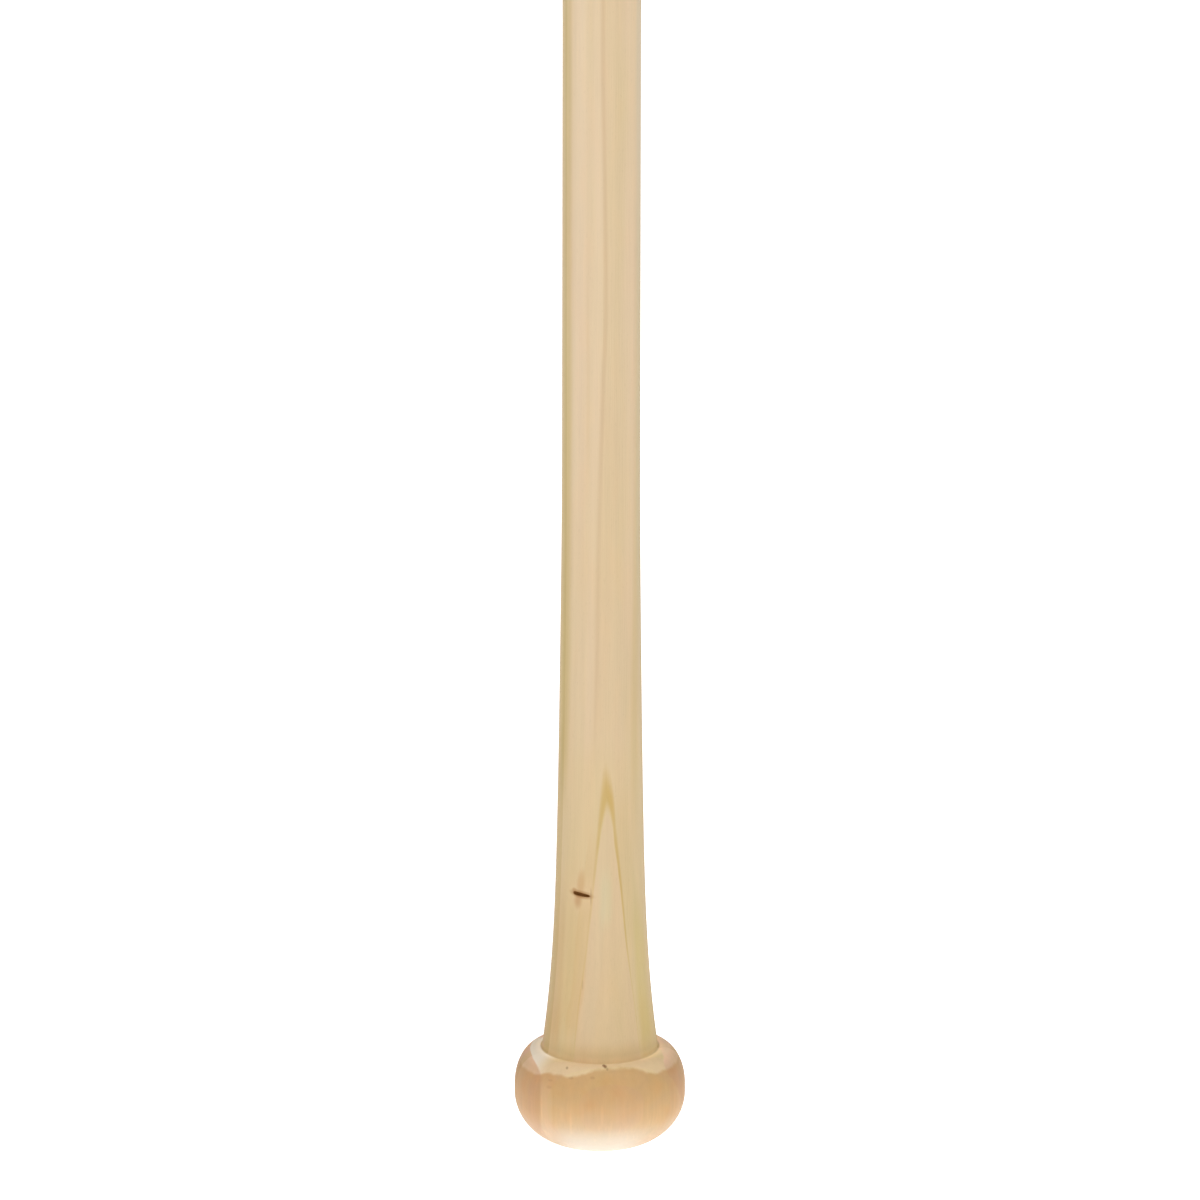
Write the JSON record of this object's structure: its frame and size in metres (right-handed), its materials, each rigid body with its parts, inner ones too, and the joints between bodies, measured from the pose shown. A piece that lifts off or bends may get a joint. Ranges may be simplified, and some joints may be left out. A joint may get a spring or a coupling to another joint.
{
  "type": "baseball bat",
  "caption": "Full-size natural wooden baseball bat with a round knob, slender bare handle, long taper and a cupped barrel end.",
  "frame": {"origin": "centre of the flat end of the knob, where the bat stands, on the bat's axis", "axes": "+Z along the bat's axis from the knob to the barrel end; +X and +Y across it, with the flat-sawn face of the wood toward -Y"},
  "size_m": [0.0635, 0.0634, 0.8636],
  "materials": {
    "wood": "bare fine-sanded handle and barrel, satin clear coat on the knob",
    "decal": "satin printed vinyl"
  },
  "bodies": {
    "root": {"bat_body": "wood", "knob_decal": "decal"}
  },
  "joints": []
}
